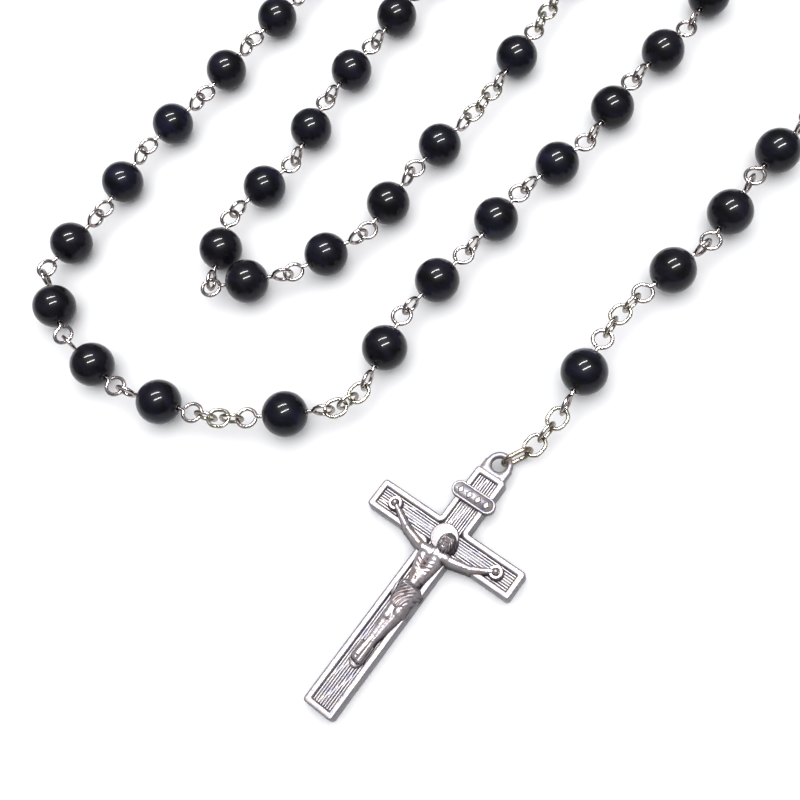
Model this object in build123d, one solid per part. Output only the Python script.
from build123d import *
import math
import os

# A five decade rosary of round stone beads on wire eye pins, laid out flat with its crucifix.
# Millimetres and degrees.  The walk along the strands starts at the centrepiece; afterwards the
# whole rosary is moved so that the origin is on the table, below the middle of its outline.

# ---- Beads and eye pins ----
BEAD_DIAMETER = 6.0
BEAD_END_FLAT = 0.08          # cut off the sphere at each end of the drilled hole
HOLE_CLEARANCE = 0.08         # radial, between a pin and the hole that its bead turns on
PIN_WIRE = 0.52
EYE_OUTER = 3.0               # outside diameter of the eye at each end of a pin
EYE_STANDOFF = 0.58           # from the bead's surface to the near edge of the eye
NECK_BEND = 0.5               # radius of the small reverse bend before the eye
EYE_CLOSE = 160.0             # direction in which the wire's cut end stops, seen from the eye

# ---- Chain links and the crucifix ring ----
LINK_WIRE = 0.5
LINK_LENGTH = 3.3
LINK_WIDTH = 2.8
LINKS_IN_CHAIN = 3
RING_WIRE = 0.6
RING_LENGTH = 4.4
RING_WIDTH = 3.1
PLAY = 0.12                   # free gap between two wires that are hooked through each other

# ---- Centrepiece: an oval medal with three eyelets ----
MEDAL_LENGTH = 16.0
MEDAL_WIDTH = 13.0
MEDAL_THICK = 2.0
MEDAL_RIM = 0.9
MEDAL_RECESS = 0.35
EYELET_HOLE = 1.5
EYELET_WALL = 0.85
EYELET_THICK = 1.0
EYELET_LIFT = 1.0             # underside of an eyelet above the table, where a link passes
EYELET_OUT = 0.8              # from the oval's edge to the middle of an eyelet's hole
UPPER_EYELET_ANGLE = 50.0     # place of the two upper eyelets round the oval

# ---- Crucifix ----
CROSS_LENGTH = 36.4           # from the middle of the hole to the foot
CROSS_TOP = 1.45              # from the middle of the hole to the top of the upright
UPRIGHT_WIDTH = 4.3
ARM_SPAN = 21.2
ARM_WIDTH = 4.0
ARM_PLACE = 11.35             # from the middle of the hole to the middle of the arms
CROSS_THICK = 2.0
CROSS_CORNER = 0.5
RIM_WIDTH = 0.85
FIELD_DEPTH = 0.35
LUG_WIDTH = 3.7
LUG_HOLE = 1.9
LUG_WALL = 0.75               # in front of the hole, where the ring hangs
LUG_THICK = 0.95
LUG_ROOT = 0.8                # how long the lug's full width is, half of it inside the upright
LUG_LIFT = 1.05
TITLE_PLACE = 5.35
TITLE_LENGTH = 6.1
TITLE_WIDTH = 2.15
TITLE_THICK = 0.5
HALO_DIAMETER = 3.5
HALO_THICK = 0.3
HAND_OUT = 7.55               # from the upright's middle to each hand
FOOT_PLACE = 28.9             # from the hole to the nail through the feet
REST_LENGTH = 3.4
REST_WIDTH = 1.9
REST_THICK = 0.6
NAIL_DIAMETER = 0.6
NAIL_HEAD = 0.85
NAIL_DEPTH = 0.8              # let into the cross
NAIL_HEIGHTS = [1.15, 1.15, 1.5]   # undersides of the heads above the sunk field

# ---- The figure on the cross: heights are above the sunk field ----
HEAD_BELOW_ARMS = 0.5         # from the arms' middle towards the foot
HEAD_ASIDE = 0.7
HEAD_HEIGHT = 1.7
HEAD_RADIUS = 1.1
NECK_RADIUS = 0.5
CHEST_BELOW_ARMS = 2.6
CHEST_HALF = 0.8              # from the middle to the middle of one side
CHEST_RADIUS = 0.95
WAIST_BELOW_ARMS = 6.4
WAIST_HALF = 0.3
WAIST_RADIUS = 0.75
LEAN = 0.4                    # the hips and knees swing this far to the same side as the head
HIPS_LENGTH = 3.6
HIPS_RADIUS = 1.15
TRUNK_HEIGHT = 1.0
SHOULDER_OUT = 1.4
SHOULDER_RADIUS = 0.6
ELBOW_OUT = 4.4
ELBOW_BELOW_ARMS = 1.7
ARM_RADIUS = 0.45
ARM_HEIGHT = 0.7
HAND_RADIUS = 0.5
LEG_HALF = 0.43
THIGH_RADIUS = 0.75
KNEE_RADIUS = 0.6
KNEE_HEIGHT = 1.5
ANKLE_ABOVE_NAIL = 2.2
ANKLE_RADIUS = 0.5
FOOT_RADIUS = 0.52

# ---- How the strands lie: directions of the pins in degrees, walking out from the centrepiece ----
MEDAL_TURN = 23.0
PENDANT_OUR_FATHER = 157.0
PENDANT_HAIL_MARYS = [174.0, 182.0, 164.0]
LOWEST_OUR_FATHER = 187.0
LOWEST_LINKS = [177.0, 174.0, 171.0]
RING_DIRECTION = 150.0
CROSS_DIRECTION = 180.0
LOOP_START = 65.0
DECADE_1 = [79.0, 155.0, 209.0, 185.0, 172.0, 182.0, 165.0, 177.0, 172.0, 191.0]
OUR_FATHER_3 = 130.0
DECADE_2 = [106.0, 84.0, 60.0, -2.0, 10.0, -6.0, 2.0, -5.0, 17.0, 1.0]
OUR_FATHER_4 = -97.0
DECADE_3 = [-185.0, -178.0, -178.0, -166.0, -190.0, -154.0, -46.0, -24.0, 3.0, -7.0]
OUR_FATHER_5 = 5.0
DECADE_4_FIRST_TURN = 4.0     # from one pin to the next in the first half of the fourth decade
HALF_DECADE = 5               # pins that hinge as one piece
SHORT_CHAIN_SLACK = 0.4       # how far hooked wires are pushed into each other, past PLAY
HAIL_MARY_SLACK = 0.4
DECADE_3_SLACK = 0.3
FIRST_TURNS = (12.0, 8.0)     # turns from pin to pin that the search for the loop's end starts at
TURN_STEP = 0.01
TURN_ROUNDS = 40
LARGEST_CHANGE = 2.0          # of a turn, in one round of the search

BEAD_RADIUS = BEAD_DIAMETER / 2
PIN_HEIGHT = BEAD_RADIUS      # beads rest on the table, so the pins lie this high
EYE_RADIUS = (EYE_OUTER - PIN_WIRE) / 2
EYE_CENTRE = BEAD_RADIUS + EYE_STANDOFF + EYE_OUTER / 2
PIN_REACH = EYE_CENTRE + EYE_RADIUS
FIELD_TOP = CROSS_THICK - FIELD_DEPTH
LUG_MIDDLE = LUG_LIFT + LUG_THICK / 2
EYELET_MIDDLE = EYELET_LIFT + EYELET_THICK / 2


def direction(turn, rise=0.0):
    """Unit vector at a compass turn about Z and a rise above the table."""
    flat = math.cos(math.radians(rise))
    return Vector(
        flat * math.cos(math.radians(turn)),
        flat * math.sin(math.radians(turn)),
        math.sin(math.radians(rise)),
    )


def spacing(wire_a, wire_b, slack=0.0):
    """Between the middles of two hooked wires."""
    return (wire_a + wire_b) / 2 + PLAY + slack


# ---- The single pieces, each made once along X and placed many times ----


def bead():
    """A drilled stone bead with its hole along X, turned from its profile."""
    half_length = BEAD_RADIUS - BEAD_END_FLAT
    flat_edge = math.sqrt(BEAD_RADIUS**2 - half_length**2)
    hole = PIN_WIRE / 2 + HOLE_CLEARANCE
    wall = Line((half_length, hole), (-half_length, hole))
    near_end = Line((-half_length, hole), (-half_length, flat_edge))
    outside = ThreePointArc((-half_length, flat_edge), (0, BEAD_RADIUS), (half_length, flat_edge))
    far_end = Line((half_length, flat_edge), (half_length, hole))
    return revolve(make_face([wall, near_end, outside, far_end]), Axis.X).solid()


def half_pin():
    """Half an eye pin: the stem from the bead's middle, the neck, and one eye in the XY plane."""
    reach = math.sqrt(EYE_RADIUS**2 + 2 * EYE_RADIUS * NECK_BEND)
    stem = EYE_CENTRE - reach
    meet = math.degrees(math.atan2(NECK_BEND, reach))
    straight = Line((0, 0), (stem, 0))
    neck = CenterArc((stem, -NECK_BEND), NECK_BEND, 90, meet - 90)
    eye = CenterArc((EYE_CENTRE, 0), EYE_RADIUS, 180 + meet, 180 + EYE_CLOSE - meet)
    path = Wire([straight.edge(), neck.edge(), eye.edge()])
    section = Plane.YZ * Circle(PIN_WIRE / 2)
    return sweep(section, path=path)


def eye_pin(quarter_turn):
    """A whole eye pin; with a quarter turn its far eye stands at right angles to the near one."""
    far = half_pin()
    near = Rotation(0, 0, 180) * half_pin()
    if quarter_turn:
        far = Rotation(90, 0, 0) * far
    return (near + far).solid()


def oval_ring(length, width, wire):
    """A closed wire oval in the XY plane, centred, with its length along X."""
    radius = (width - wire) / 2
    half = (length - wire) / 2 - radius
    pieces = []
    for side in (-1, 1):
        bend = Pos(side * half, 0, 0) * Torus(radius, wire / 2)
        room = Box(radius + wire, width + 1, wire + 1, align=(Align.MIN, Align.CENTER, Align.CENTER))
        room = Pos(side * half, 0, 0) * (room if side > 0 else Rotation(0, 0, 180) * room)
        pieces.append(bend & room)
        rail = Cylinder(wire / 2, 2 * half, rotation=(0, 90, 0))
        pieces.append(Pos(0, side * radius, 0) * rail)
    return (pieces[0] + pieces[1] + pieces[2] + pieces[3]).solid()


def limb(start, start_radius, end, end_radius):
    """A round limb between two points, turned from a profile that is domed at both ends."""
    start = Vector(*start)
    run = Vector(*end) - start
    length = run.length
    slope = math.asin((start_radius - end_radius) / length)
    lean = Vector(math.sin(slope), math.cos(slope))
    back = Vector(math.cos(0.75 * math.pi - slope / 2), math.sin(0.75 * math.pi - slope / 2))
    front = Vector(math.cos(0.25 * math.pi - slope / 2), math.sin(0.25 * math.pi - slope / 2))
    far = Vector(length, 0)
    first_dome = ThreePointArc((-start_radius, 0), back * start_radius, lean * start_radius)
    side = Line(lean * start_radius, far + lean * end_radius)
    end_tip = (length + end_radius, 0)
    last_dome = ThreePointArc(far + lean * end_radius, far + front * end_radius, end_tip)
    axis = Line(end_tip, (-start_radius, 0))
    turned = revolve(make_face([first_dome, side, last_dome, axis]), Axis.X)
    return Plane(origin=start, x_dir=run, z_dir=run.cross(Vector(0.3, 0.2, 1))) * turned


def cross_plan(inset):
    """The cross's outline drawn in by an inset, as a sketch; X runs from the hole to the foot."""
    upright_length = CROSS_LENGTH - CROSS_TOP - 2 * inset
    upright = Rectangle(upright_length, UPRIGHT_WIDTH - 2 * inset)
    upright = Pos((CROSS_LENGTH + CROSS_TOP) / 2, 0) * upright
    arms = Pos(ARM_PLACE, 0) * Rectangle(ARM_WIDTH - 2 * inset, ARM_SPAN - 2 * inset)
    return upright + arms


def crucifix_cross():
    """The cast cross with its raised rim, sunk field and the lug at its top."""
    plan = cross_plan(0)
    foot = plan.vertices().sort_by(Axis.X)[-2:]
    arm_ends = plan.vertices().sort_by(Axis.Y)[:2] + plan.vertices().sort_by(Axis.Y)[-2:]
    plate = extrude(fillet(foot + arm_ends, CROSS_CORNER), CROSS_THICK)
    plate -= Pos(0, 0, FIELD_TOP) * extrude(cross_plan(RIM_WIDTH), CROSS_THICK)
    lug_radius = LUG_HOLE / 2 + LUG_WALL
    head = Circle(lug_radius)
    root = Pos(CROSS_TOP, 0) * Rectangle(LUG_ROOT, LUG_WIDTH)
    lug = extrude(make_hull((head + root).edges()), LUG_THICK)
    lug -= Cylinder(LUG_HOLE / 2, 3 * LUG_THICK)
    cross = plate + Pos(0, 0, LUG_LIFT) * lug
    for x, y in nail_places():
        cross -= Pos(x, y, FIELD_TOP - NAIL_DEPTH) * nail_shank(2 * NAIL_DEPTH)
    return cross.solid()


def crucifix_title_plate():
    """The blank title scroll across the upright, seated on the rim."""
    strip = SlotOverall(TITLE_LENGTH, TITLE_WIDTH, rotation=90)
    return extrude(Pos(TITLE_PLACE, 0, CROSS_THICK) * strip, TITLE_THICK).solid()


def crucifix_figure():
    """The cast figure with its halo and foot rest, in one piece on the sunk field."""
    on_floor = (Align.CENTER, Align.CENTER, Align.MIN)
    halo = Pos(ARM_PLACE, 0, 0) * Cylinder(HALO_DIAMETER / 2, FIELD_DEPTH + HALO_THICK, align=on_floor)
    rest_middle = FOOT_PLACE - REST_LENGTH / 4
    rest = Pos(rest_middle, 0, 0) * extrude(SlotOverall(REST_LENGTH, REST_WIDTH), REST_THICK)
    figure = halo + rest + figure_trunk() + figure_arm(-1) + figure_arm(1) + figure_legs()
    under_field = (Align.CENTER, Align.CENTER, Align.MAX)
    figure -= Box(3 * CROSS_LENGTH, 3 * ARM_SPAN, CROSS_LENGTH, align=under_field)
    rim = extrude(cross_plan(0) - cross_plan(RIM_WIDTH), FIELD_DEPTH)
    figure = Pos(0, 0, FIELD_TOP) * (figure - rim)
    for x, y in nail_places():
        figure -= Pos(x, y, 0) * nail_shank(CROSS_THICK + CROSS_LENGTH)
    return figure.solid()


def figure_trunk():
    """Head, neck, chest and hips, above the field; the chest is two round sides that meet."""
    chest = ARM_PLACE + CHEST_BELOW_ARMS
    waist = ARM_PLACE + WAIST_BELOW_ARMS
    head_place = (ARM_PLACE + HEAD_BELOW_ARMS, HEAD_ASIDE, HEAD_HEIGHT)
    trunk = Pos(*head_place) * Sphere(HEAD_RADIUS)
    trunk += limb(head_place, NECK_RADIUS, (chest, 0, TRUNK_HEIGHT), NECK_RADIUS)
    for side in (-1, 1):
        rib = (chest, side * CHEST_HALF, TRUNK_HEIGHT)
        trunk += limb(rib, CHEST_RADIUS, (waist, LEAN + side * WAIST_HALF, TRUNK_HEIGHT), WAIST_RADIUS)
    hips = (waist + HIPS_LENGTH, LEAN, TRUNK_HEIGHT)
    return trunk + limb((waist, LEAN, TRUNK_HEIGHT), WAIST_RADIUS, hips, HIPS_RADIUS)


def figure_arm(side):
    """One arm, from the chest up and out to the nail through the hand."""
    shoulder = (ARM_PLACE + CHEST_BELOW_ARMS, side * SHOULDER_OUT, TRUNK_HEIGHT)
    elbow = (ARM_PLACE + ELBOW_BELOW_ARMS, side * ELBOW_OUT, ARM_HEIGHT)
    hand = (ARM_PLACE, side * HAND_OUT, ARM_HEIGHT)
    upper_arm = limb(shoulder, SHOULDER_RADIUS, elbow, ARM_RADIUS)
    return upper_arm + limb(elbow, ARM_RADIUS, hand, HAND_RADIUS)


def figure_legs():
    """Both legs with bent knees, and the feet laid over each other on their rest."""
    hips = ARM_PLACE + WAIST_BELOW_ARMS + HIPS_LENGTH
    ankle = (FOOT_PLACE - ANKLE_ABOVE_NAIL, 0, ARM_HEIGHT)
    legs = limb(ankle, ANKLE_RADIUS, (FOOT_PLACE, 0, REST_THICK), FOOT_RADIUS)
    for side in (-1, 1):
        knee = ((hips + FOOT_PLACE) / 2, LEAN + side * LEG_HALF, KNEE_HEIGHT)
        legs += limb((hips, LEAN + side * LEG_HALF, TRUNK_HEIGHT), THIGH_RADIUS, knee, KNEE_RADIUS)
        legs += limb(knee, KNEE_RADIUS, ankle, ANKLE_RADIUS)
    return legs


def nail_places():
    """Hands and feet, in the plane of the cross."""
    return [(ARM_PLACE, -HAND_OUT), (ARM_PLACE, HAND_OUT), (FOOT_PLACE, 0)]


def nail_shank(length):
    """A nail's round shank, standing up from its point."""
    return Cylinder(NAIL_DIAMETER / 2, length, align=(Align.CENTER, Align.CENTER, Align.MIN))


def crucifix_nails():
    """Three round nails, each let into the cross and headed above the figure."""
    nails = []
    for (x, y), height in zip(nail_places(), NAIL_HEIGHTS):
        dome = Sphere(NAIL_HEAD / 2) & Pos(0, 0, NAIL_HEAD / 2) * Box(NAIL_HEAD, NAIL_HEAD, NAIL_HEAD)
        nail = nail_shank(height + NAIL_DEPTH) + Pos(0, 0, height + NAIL_DEPTH) * dome
        nails.append(Pos(x, y, FIELD_TOP - NAIL_DEPTH) * nail)
    return nails


def medal_plan(inset):
    """The centrepiece's oval drawn in by an inset."""
    return Ellipse(MEDAL_LENGTH / 2 - inset, MEDAL_WIDTH / 2 - inset)


def eyelet_spots():
    """The three eyelets: middle of each hole and the direction away from the medal."""
    spots = [((-MEDAL_LENGTH / 2 - EYELET_OUT, 0.0), 180.0)]
    for side in (1, -1):
        angle = math.radians(UPPER_EYELET_ANGLE) * side
        x = MEDAL_LENGTH / 2 * math.cos(angle)
        y = MEDAL_WIDTH / 2 * math.sin(angle)
        out = math.degrees(math.atan2(math.sin(angle) / MEDAL_WIDTH, math.cos(angle) / MEDAL_LENGTH))
        ahead = direction(out) * EYELET_OUT
        spots.append(((x + ahead.X, y + ahead.Y), out))
    return spots


def centrepiece():
    """A plain oval medal with a raised rim on both faces and an eyelet for each strand."""
    medal = extrude(medal_plan(0), MEDAL_THICK)
    for face in (-MEDAL_THICK + MEDAL_RECESS, MEDAL_THICK - MEDAL_RECESS):
        medal -= Pos(0, 0, face) * extrude(medal_plan(MEDAL_RIM), MEDAL_THICK)
    radius = EYELET_HOLE / 2 + EYELET_WALL
    for (x, y), out in eyelet_spots():
        root = Pos(-radius, 0) * Rectangle(2 * radius, 2 * radius)
        tab = Rotation(0, 0, out) * extrude(Circle(radius) + root, EYELET_THICK)
        inside = extrude(medal_plan(MEDAL_RIM / 2), 3 * MEDAL_THICK)
        medal += Pos(x, y, EYELET_LIFT) * tab - inside
    for (x, y), out in eyelet_spots():
        medal -= Pos(x, y, 0) * Cylinder(EYELET_HOLE / 2, 6 * MEDAL_THICK)
    return medal.solid()


# ---- Laying the pieces end to end ----


class Strand:
    """Walks along a strand, hooking each piece through the free eye of the last one.

    One of two hooked eyes always stands upright and the other lies flat.  A change of
    compass turn happens about the upright wire and a change of rise about the flat one.
    """

    def __init__(self, tip, turn, rise, wire, upright):
        self.tip = tip
        self.turn = turn
        self.rise = rise
        self.wire = wire
        self.upright = upright

    def hook(self, turn, rise, wire, reach, slack=0.0, quarter_turn=False):
        """Hook on a piece of a given reach between its two tip wires; give its location."""
        seat_turn = turn if self.upright else self.turn
        seat_rise = self.rise if self.upright else rise
        start = self.tip - direction(seat_turn, seat_rise) * spacing(self.wire, wire, slack)
        flat_eye, upright_eye = (start, self.tip) if self.upright else (self.tip, start)
        end = start + direction(turn, rise) * reach
        middle = (start + end) * 0.5
        roll = 0 if self.upright else 90
        place = Location(middle, (0, 0, turn)) * Location((0, 0, 0), (0, -rise, 0))
        place *= Location((0, 0, 0), (roll, 0, 0))
        self.upright = (not self.upright) != quarter_turn
        self.tip = end
        self.turn = turn
        self.rise = rise
        self.wire = wire
        return place, flat_eye, upright_eye


def chain_headings(before, after):
    """Directions of the links between two pieces, turning evenly from one to the other."""
    step = (after - before) / (LINKS_IN_CHAIN + 1)
    return [before + step * (k + 1) for k in range(LINKS_IN_CHAIN)]


class Rosary:
    """Collects the placed pieces of each node, and prints where the joints are."""

    def __init__(self):
        self.nodes = {}
        self.hinges = []
        self.bead = bead()
        self.pins = {True: eye_pin(True), False: eye_pin(False)}
        self.link = oval_ring(LINK_LENGTH, LINK_WIDTH, LINK_WIRE)
        self.ring = oval_ring(RING_LENGTH, RING_WIDTH, RING_WIRE)

    def put(self, node, solid, place):
        self.nodes.setdefault(node, []).append(solid.moved(place))

    def hinge(self, name, flat_eye, upright_eye, turn):
        """A piece tips about the flat eye's wire and swings about the upright eye's."""
        self.hinges.append((name, flat_eye, upright_eye, turn))

    def add_links(self, walk, headings, rise, nodes, slack=0.0, joint=None):
        reach = LINK_LENGTH - LINK_WIRE
        for k, (turn, node) in enumerate(zip(headings, nodes)):
            before = walk.turn if not walk.upright else turn
            free = 0.0 if k == 0 else slack
            place, flat_eye, upright_eye = walk.hook(turn, rise, LINK_WIRE, reach, free)
            self.put(node, self.link, place)
            if joint and (k == 0 or nodes[k] != nodes[k - 1]):
                self.hinge(node, flat_eye, upright_eye, before)

    def add_bead(self, walk, turn, bead_node, pin_node, slack=0.0, quarter_turn=True, joint=True):
        before = walk.turn if not walk.upright else turn
        reach = 2 * PIN_REACH
        place, flat_eye, upright_eye = walk.hook(turn, 0.0, PIN_WIRE, reach, slack, quarter_turn)
        self.put(bead_node, self.bead, place)
        self.put(pin_node, self.pins[quarter_turn], place)
        if joint:
            self.hinge(pin_node, flat_eye, upright_eye, before)


def rise_over(height, ends):
    """The rise at which a chain of links, with what hooks on at its ends, climbs a height."""
    run = LINKS_IN_CHAIN * (LINK_LENGTH - LINK_WIRE)
    run += ends - (LINKS_IN_CHAIN - 1) * spacing(LINK_WIRE, LINK_WIRE)
    return math.degrees(math.asin(height / run))


def start_walk(spot_index, turn, medal_place):
    """A walk that starts at the outer wall of one of the centrepiece's eyelets."""
    (x, y), _ = eyelet_spots()[spot_index]
    hole = (medal_place * Location((x, y, EYELET_MIDDLE))).position
    tip = hole + direction(turn) * (EYELET_HOLE + EYELET_WALL) * 0.5
    return Strand(tip, turn, 0.0, EYELET_WALL, False)


def eyelet_rise():
    """The slope of a chain that climbs from an eyelet to the pins."""
    hooks = -spacing(EYELET_WALL, LINK_WIRE) - spacing(LINK_WIRE, PIN_WIRE)
    return rise_over(PIN_HEIGHT - EYELET_MIDDLE, hooks)


def lay_pendant(rosary, medal_place):
    """The short strand from the centrepiece down to the crucifix."""
    turn = MEDAL_TURN + 180.0
    walk = start_walk(0, turn, medal_place)
    headings = chain_headings(turn, PENDANT_OUR_FATHER)
    names = ["centre_chain_links"] * LINKS_IN_CHAIN
    rosary.add_links(walk, headings, eyelet_rise(), names, joint=True)
    rosary.add_bead(walk, PENDANT_OUR_FATHER, "our_father_2_bead", "our_father_2_eye_pin")
    headings = chain_headings(PENDANT_OUR_FATHER, PENDANT_HAIL_MARYS[0])
    rosary.add_links(walk, headings, 0.0, ["upper_chain_links"] * LINKS_IN_CHAIN, joint=True)
    for k, turn in enumerate(PENDANT_HAIL_MARYS):
        number = 3 - k
        slack = 0.0 if k == 0 else HAIL_MARY_SLACK
        rosary.add_bead(walk, turn, f"hail_mary_{number}_bead", f"hail_mary_{number}_eye_pin", slack)
    headings = chain_headings(PENDANT_HAIL_MARYS[-1], LOWEST_OUR_FATHER)
    names = [f"middle_chain_link_{LINKS_IN_CHAIN - k}" for k in range(LINKS_IN_CHAIN)]
    rosary.add_links(walk, headings, 0.0, names, joint=True)
    rosary.add_bead(walk, LOWEST_OUR_FATHER, "our_father_1_bead", "our_father_1_eye_pin")
    lay_crucifix(rosary, walk)


def lay_crucifix(rosary, walk):
    """The last links, the oval ring and the crucifix that hangs in it."""
    ring_reach = RING_LENGTH - RING_WIRE
    hooks = ring_reach - spacing(LINK_WIRE, RING_WIRE) - spacing(RING_WIRE, LUG_WALL)
    fall = rise_over(LUG_MIDDLE - PIN_HEIGHT, hooks)
    names = [f"lower_chain_link_{LINKS_IN_CHAIN - k}" for k in range(LINKS_IN_CHAIN)]
    rosary.add_links(walk, LOWEST_LINKS, fall, names, joint=True)
    before = walk.turn
    place, flat_eye, upright_eye = walk.hook(RING_DIRECTION, fall, RING_WIRE, ring_reach)
    rosary.put("crucifix_ring", rosary.ring, place)
    rosary.hinge("crucifix_ring", flat_eye, upright_eye, before)
    wall = direction(RING_DIRECTION, fall) * spacing(RING_WIRE, LUG_WALL)
    wall_middle = walk.tip - wall
    hole = wall_middle + direction(RING_DIRECTION) * ((LUG_HOLE + LUG_WALL) * 0.5)
    place = Location((hole.X, hole.Y, 0), (0, 0, CROSS_DIRECTION))
    rosary.put("crucifix_cross", crucifix_cross(), place)
    rosary.put("crucifix_figure", crucifix_figure(), place)
    rosary.put("crucifix_title_plate", crucifix_title_plate(), place)
    for nail in crucifix_nails():
        rosary.put("crucifix_nails", nail, place)
    rosary.hinge("crucifix_cross", wall_middle, walk.tip, RING_DIRECTION)


def lay_decade(rosary, walk, number, headings, slack=0.0):
    """Ten beads, in two halves that hinge on each other."""
    for k, turn in enumerate(headings):
        half = "first" if k < HALF_DECADE else "second"
        hinged = k % HALF_DECADE == 0
        beads = f"decade_{number}_{half}_half_beads"
        pins = f"decade_{number}_{half}_half_eye_pins"
        free = 0.0 if hinged else slack
        rosary.add_bead(walk, turn, beads, pins, free, joint=hinged)


def lay_our_father(rosary, walk, number, before, turn, after, slack=0.0, quarter_turn=True):
    """A single bead between two chains of links."""
    links = [f"our_father_{number}_chain_links"] * LINKS_IN_CHAIN
    rosary.add_links(walk, chain_headings(before, turn), 0.0, links, slack, joint=True)
    bead_node = f"our_father_{number}_bead"
    pin_node = f"our_father_{number}_eye_pin"
    rosary.add_bead(walk, turn, bead_node, pin_node, slack, quarter_turn, joint=False)
    rosary.add_links(walk, chain_headings(turn, after), 0.0, links, slack)


def even_turns(first, step, count):
    return [first + step * k for k in range(count)]


def last_decades(start, turn_a, turn_b):
    """Directions in the fourth and fifth decades for two turns, from pin to pin."""
    fourth = even_turns(start, DECADE_4_FIRST_TURN, HALF_DECADE)
    fourth += even_turns(fourth[-1] - turn_a, -turn_a, HALF_DECADE)
    our_father = fourth[-1] - 2 * turn_a
    fifth = even_turns(our_father - 2 * turn_a, -turn_a, HALF_DECADE)
    fifth += even_turns(fifth[-1] - turn_b, -turn_b, HALF_DECADE)
    return fourth, our_father, fifth, fifth[-1] - 2 * turn_b


def lay_last_decades(rosary, walk, turn_a, turn_b):
    """The fourth decade, the last Our Father and the fifth decade, back to the centrepiece."""
    start = OUR_FATHER_5 + DECADE_4_FIRST_TURN
    fourth, our_father, fifth, last = last_decades(start, turn_a, turn_b)
    lay_decade(rosary, walk, 4, fourth)
    lay_our_father(rosary, walk, 6, fourth[-1], our_father, fifth[0], quarter_turn=False)
    lay_decade(rosary, walk, 5, fifth)
    headings = chain_headings(fifth[-1], last)
    names = ["loop_end_chain_links"] * LINKS_IN_CHAIN
    rosary.add_links(walk, headings, -eyelet_rise(), names, joint=True)
    wall_middle = walk.tip - direction(walk.turn) * spacing(LINK_WIRE, EYELET_WALL)
    rosary.hinge("loop_end_at_centrepiece", wall_middle, walk.tip, walk.turn)


class Tracer(Rosary):
    """Walks without making solids, to find where a strand would end."""

    bead = None
    link = None
    pins = {True: None, False: None}

    def __init__(self):
        self.hinges = []

    def put(self, node, solid, place):
        pass


def miss(walk_start, turn_a, turn_b, medal_place):
    """How far the loop's end is from the centrepiece's last eyelet, in X and Y."""
    walk = Strand(walk_start.tip, walk_start.turn, 0.0, walk_start.wire, walk_start.upright)
    lay_last_decades(Tracer(), walk, turn_a, turn_b)
    wall_middle = walk.tip - direction(walk.turn) * spacing(LINK_WIRE, EYELET_WALL)
    end = wall_middle + direction(walk.turn) * (EYELET_HOLE + EYELET_WALL) / 2
    (x, y), _ = eyelet_spots()[2]
    hole = (medal_place * Location((x, y, 0))).position
    return end.X - hole.X, end.Y - hole.Y


def closing_turns(walk, medal_place):
    """The two turns that bring the loop back to the centrepiece, by Newton's method."""
    a, b = FIRST_TURNS
    step = TURN_STEP
    for _ in range(TURN_ROUNDS):
        x, y = miss(walk, a, b, medal_place)
        xa, ya = miss(walk, a + step, b, medal_place)
        xb, yb = miss(walk, a, b + step, medal_place)
        xa, ya, xb, yb = (xa - x) / step, (ya - y) / step, (xb - x) / step, (yb - y) / step
        det = xa * yb - xb * ya
        change_a = (x * yb - y * xb) / det
        change_b = (y * xa - x * ya) / det
        most = max(abs(change_a) / LARGEST_CHANGE, abs(change_b) / LARGEST_CHANGE, 1.0)
        a -= change_a / most
        b -= change_b / most
    print(f"closing turns {a:.3f} {b:.3f}, miss {math.hypot(x, y):.5f}")
    return a, b


def lay_loop(rosary, medal_place):
    """The five decades, from one upper eyelet of the centrepiece round to the other."""
    walk = start_walk(1, LOOP_START, medal_place)
    headings = chain_headings(LOOP_START, DECADE_1[0])
    names = ["loop_start_chain_links"] * LINKS_IN_CHAIN
    rosary.add_links(walk, headings, eyelet_rise(), names, joint=True)
    lay_decade(rosary, walk, 1, DECADE_1)
    lay_our_father(rosary, walk, 3, DECADE_1[-1], OUR_FATHER_3, DECADE_2[0], SHORT_CHAIN_SLACK)
    lay_decade(rosary, walk, 2, DECADE_2)
    lay_our_father(rosary, walk, 4, DECADE_2[-1], OUR_FATHER_4, DECADE_3[0])
    lay_decade(rosary, walk, 3, DECADE_3, DECADE_3_SLACK)
    start = OUR_FATHER_5 + DECADE_4_FIRST_TURN
    lay_our_father(rosary, walk, 5, DECADE_3[-1], OUR_FATHER_5, start)
    turn_a, turn_b = closing_turns(walk, medal_place)
    lay_last_decades(rosary, walk, turn_a, turn_b)


def main():
    rosary = Rosary()
    medal_place = Location((0, 0, 0), (0, 0, MEDAL_TURN))
    rosary.put("centrepiece", centrepiece(), medal_place)
    lay_pendant(rosary, medal_place)
    lay_loop(rosary, medal_place)
    everything = [solid for solids in rosary.nodes.values() for solid in solids]
    box = Compound(everything).bounding_box()
    to_origin = Pos(-box.center().X, -box.center().Y, -box.min.Z)
    os.makedirs("parts", exist_ok=True)
    for node, solids in rosary.nodes.items():
        placed = [solid.moved(to_origin) for solid in solids]
        shape = placed[0] if len(placed) == 1 else Compound(placed)
        export_step(shape, f"parts/{node}.step")
    print(f"{len(rosary.nodes)} nodes, size {box.size.X:.2f} x {box.size.Y:.2f} x {box.size.Z:.2f}")
    for name, flat_eye, upright_eye, turn in rosary.hinges:
        tip = to_origin.position + flat_eye
        swing = to_origin.position + upright_eye
        print(f"hinge {name}: tips about {tip.X:.3f} {tip.Y:.3f} {tip.Z:.3f}, strand turn {turn:.2f},")
        print(f"    swings about {swing.X:.3f} {swing.Y:.3f} {swing.Z:.3f}")


main()
